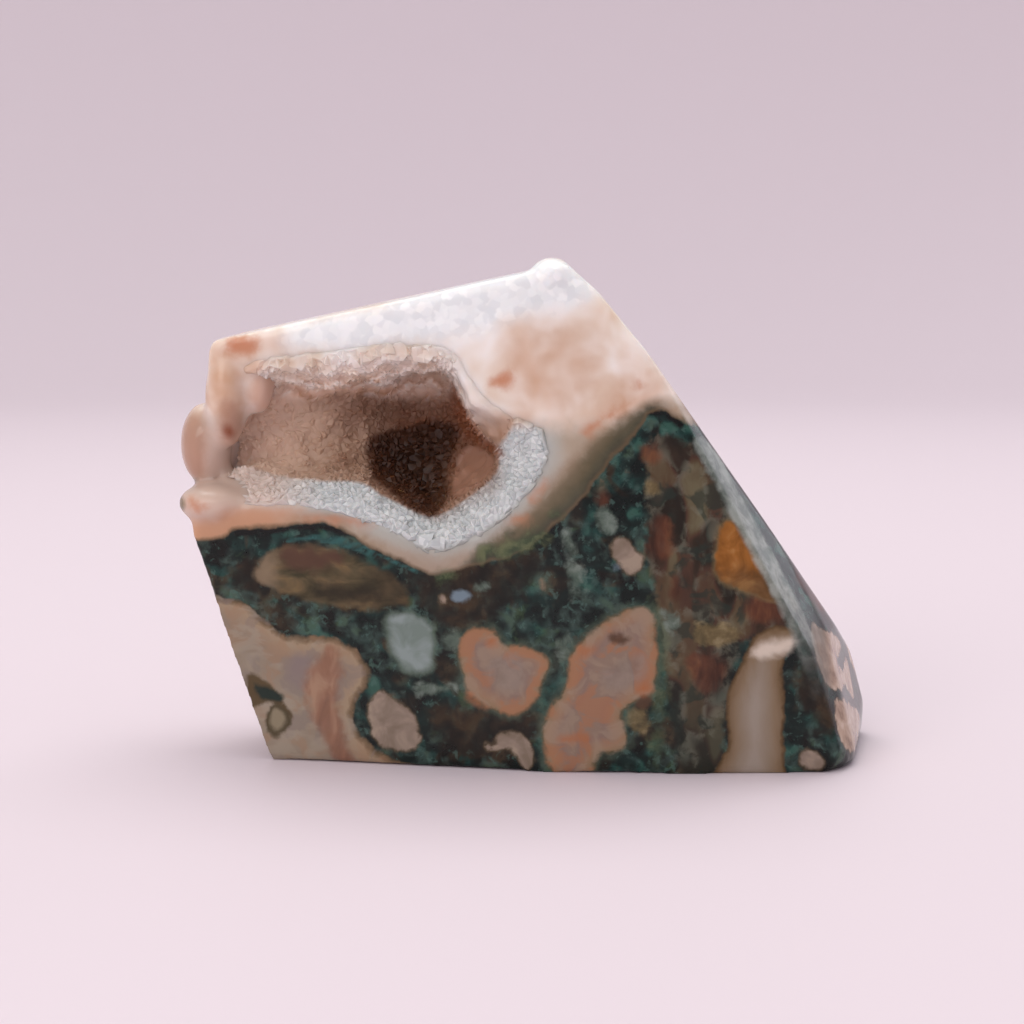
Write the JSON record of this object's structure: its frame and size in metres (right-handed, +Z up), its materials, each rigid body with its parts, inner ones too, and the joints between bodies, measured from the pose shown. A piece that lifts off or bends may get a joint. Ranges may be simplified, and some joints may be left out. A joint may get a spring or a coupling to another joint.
{
  "type": "druzy agate freeform",
  "caption": "Polished leaning freeform of moss agate, flat base, with an open hollow lined by a crust of quartz crystals.",
  "frame": {"origin": "centre of the bounding box on the plane that the stone rests on", "axes": "+Z up, -Y towards the polished front face with the hollow, +X towards the long slope"},
  "size_m": [0.0968, 0.0361, 0.0685],
  "materials": {
    "polished_agate": "polished moss agate, dark green and brown with peach and cream patches, glossy",
    "quartz_druzy": "fine glittering quartz crystals, white at the rim and brown inside the hollow"
  },
  "bodies": {
    "root": {"agate_stone": "polished_agate", "druzy_crust": "quartz_druzy"}
  },
  "joints": []
}
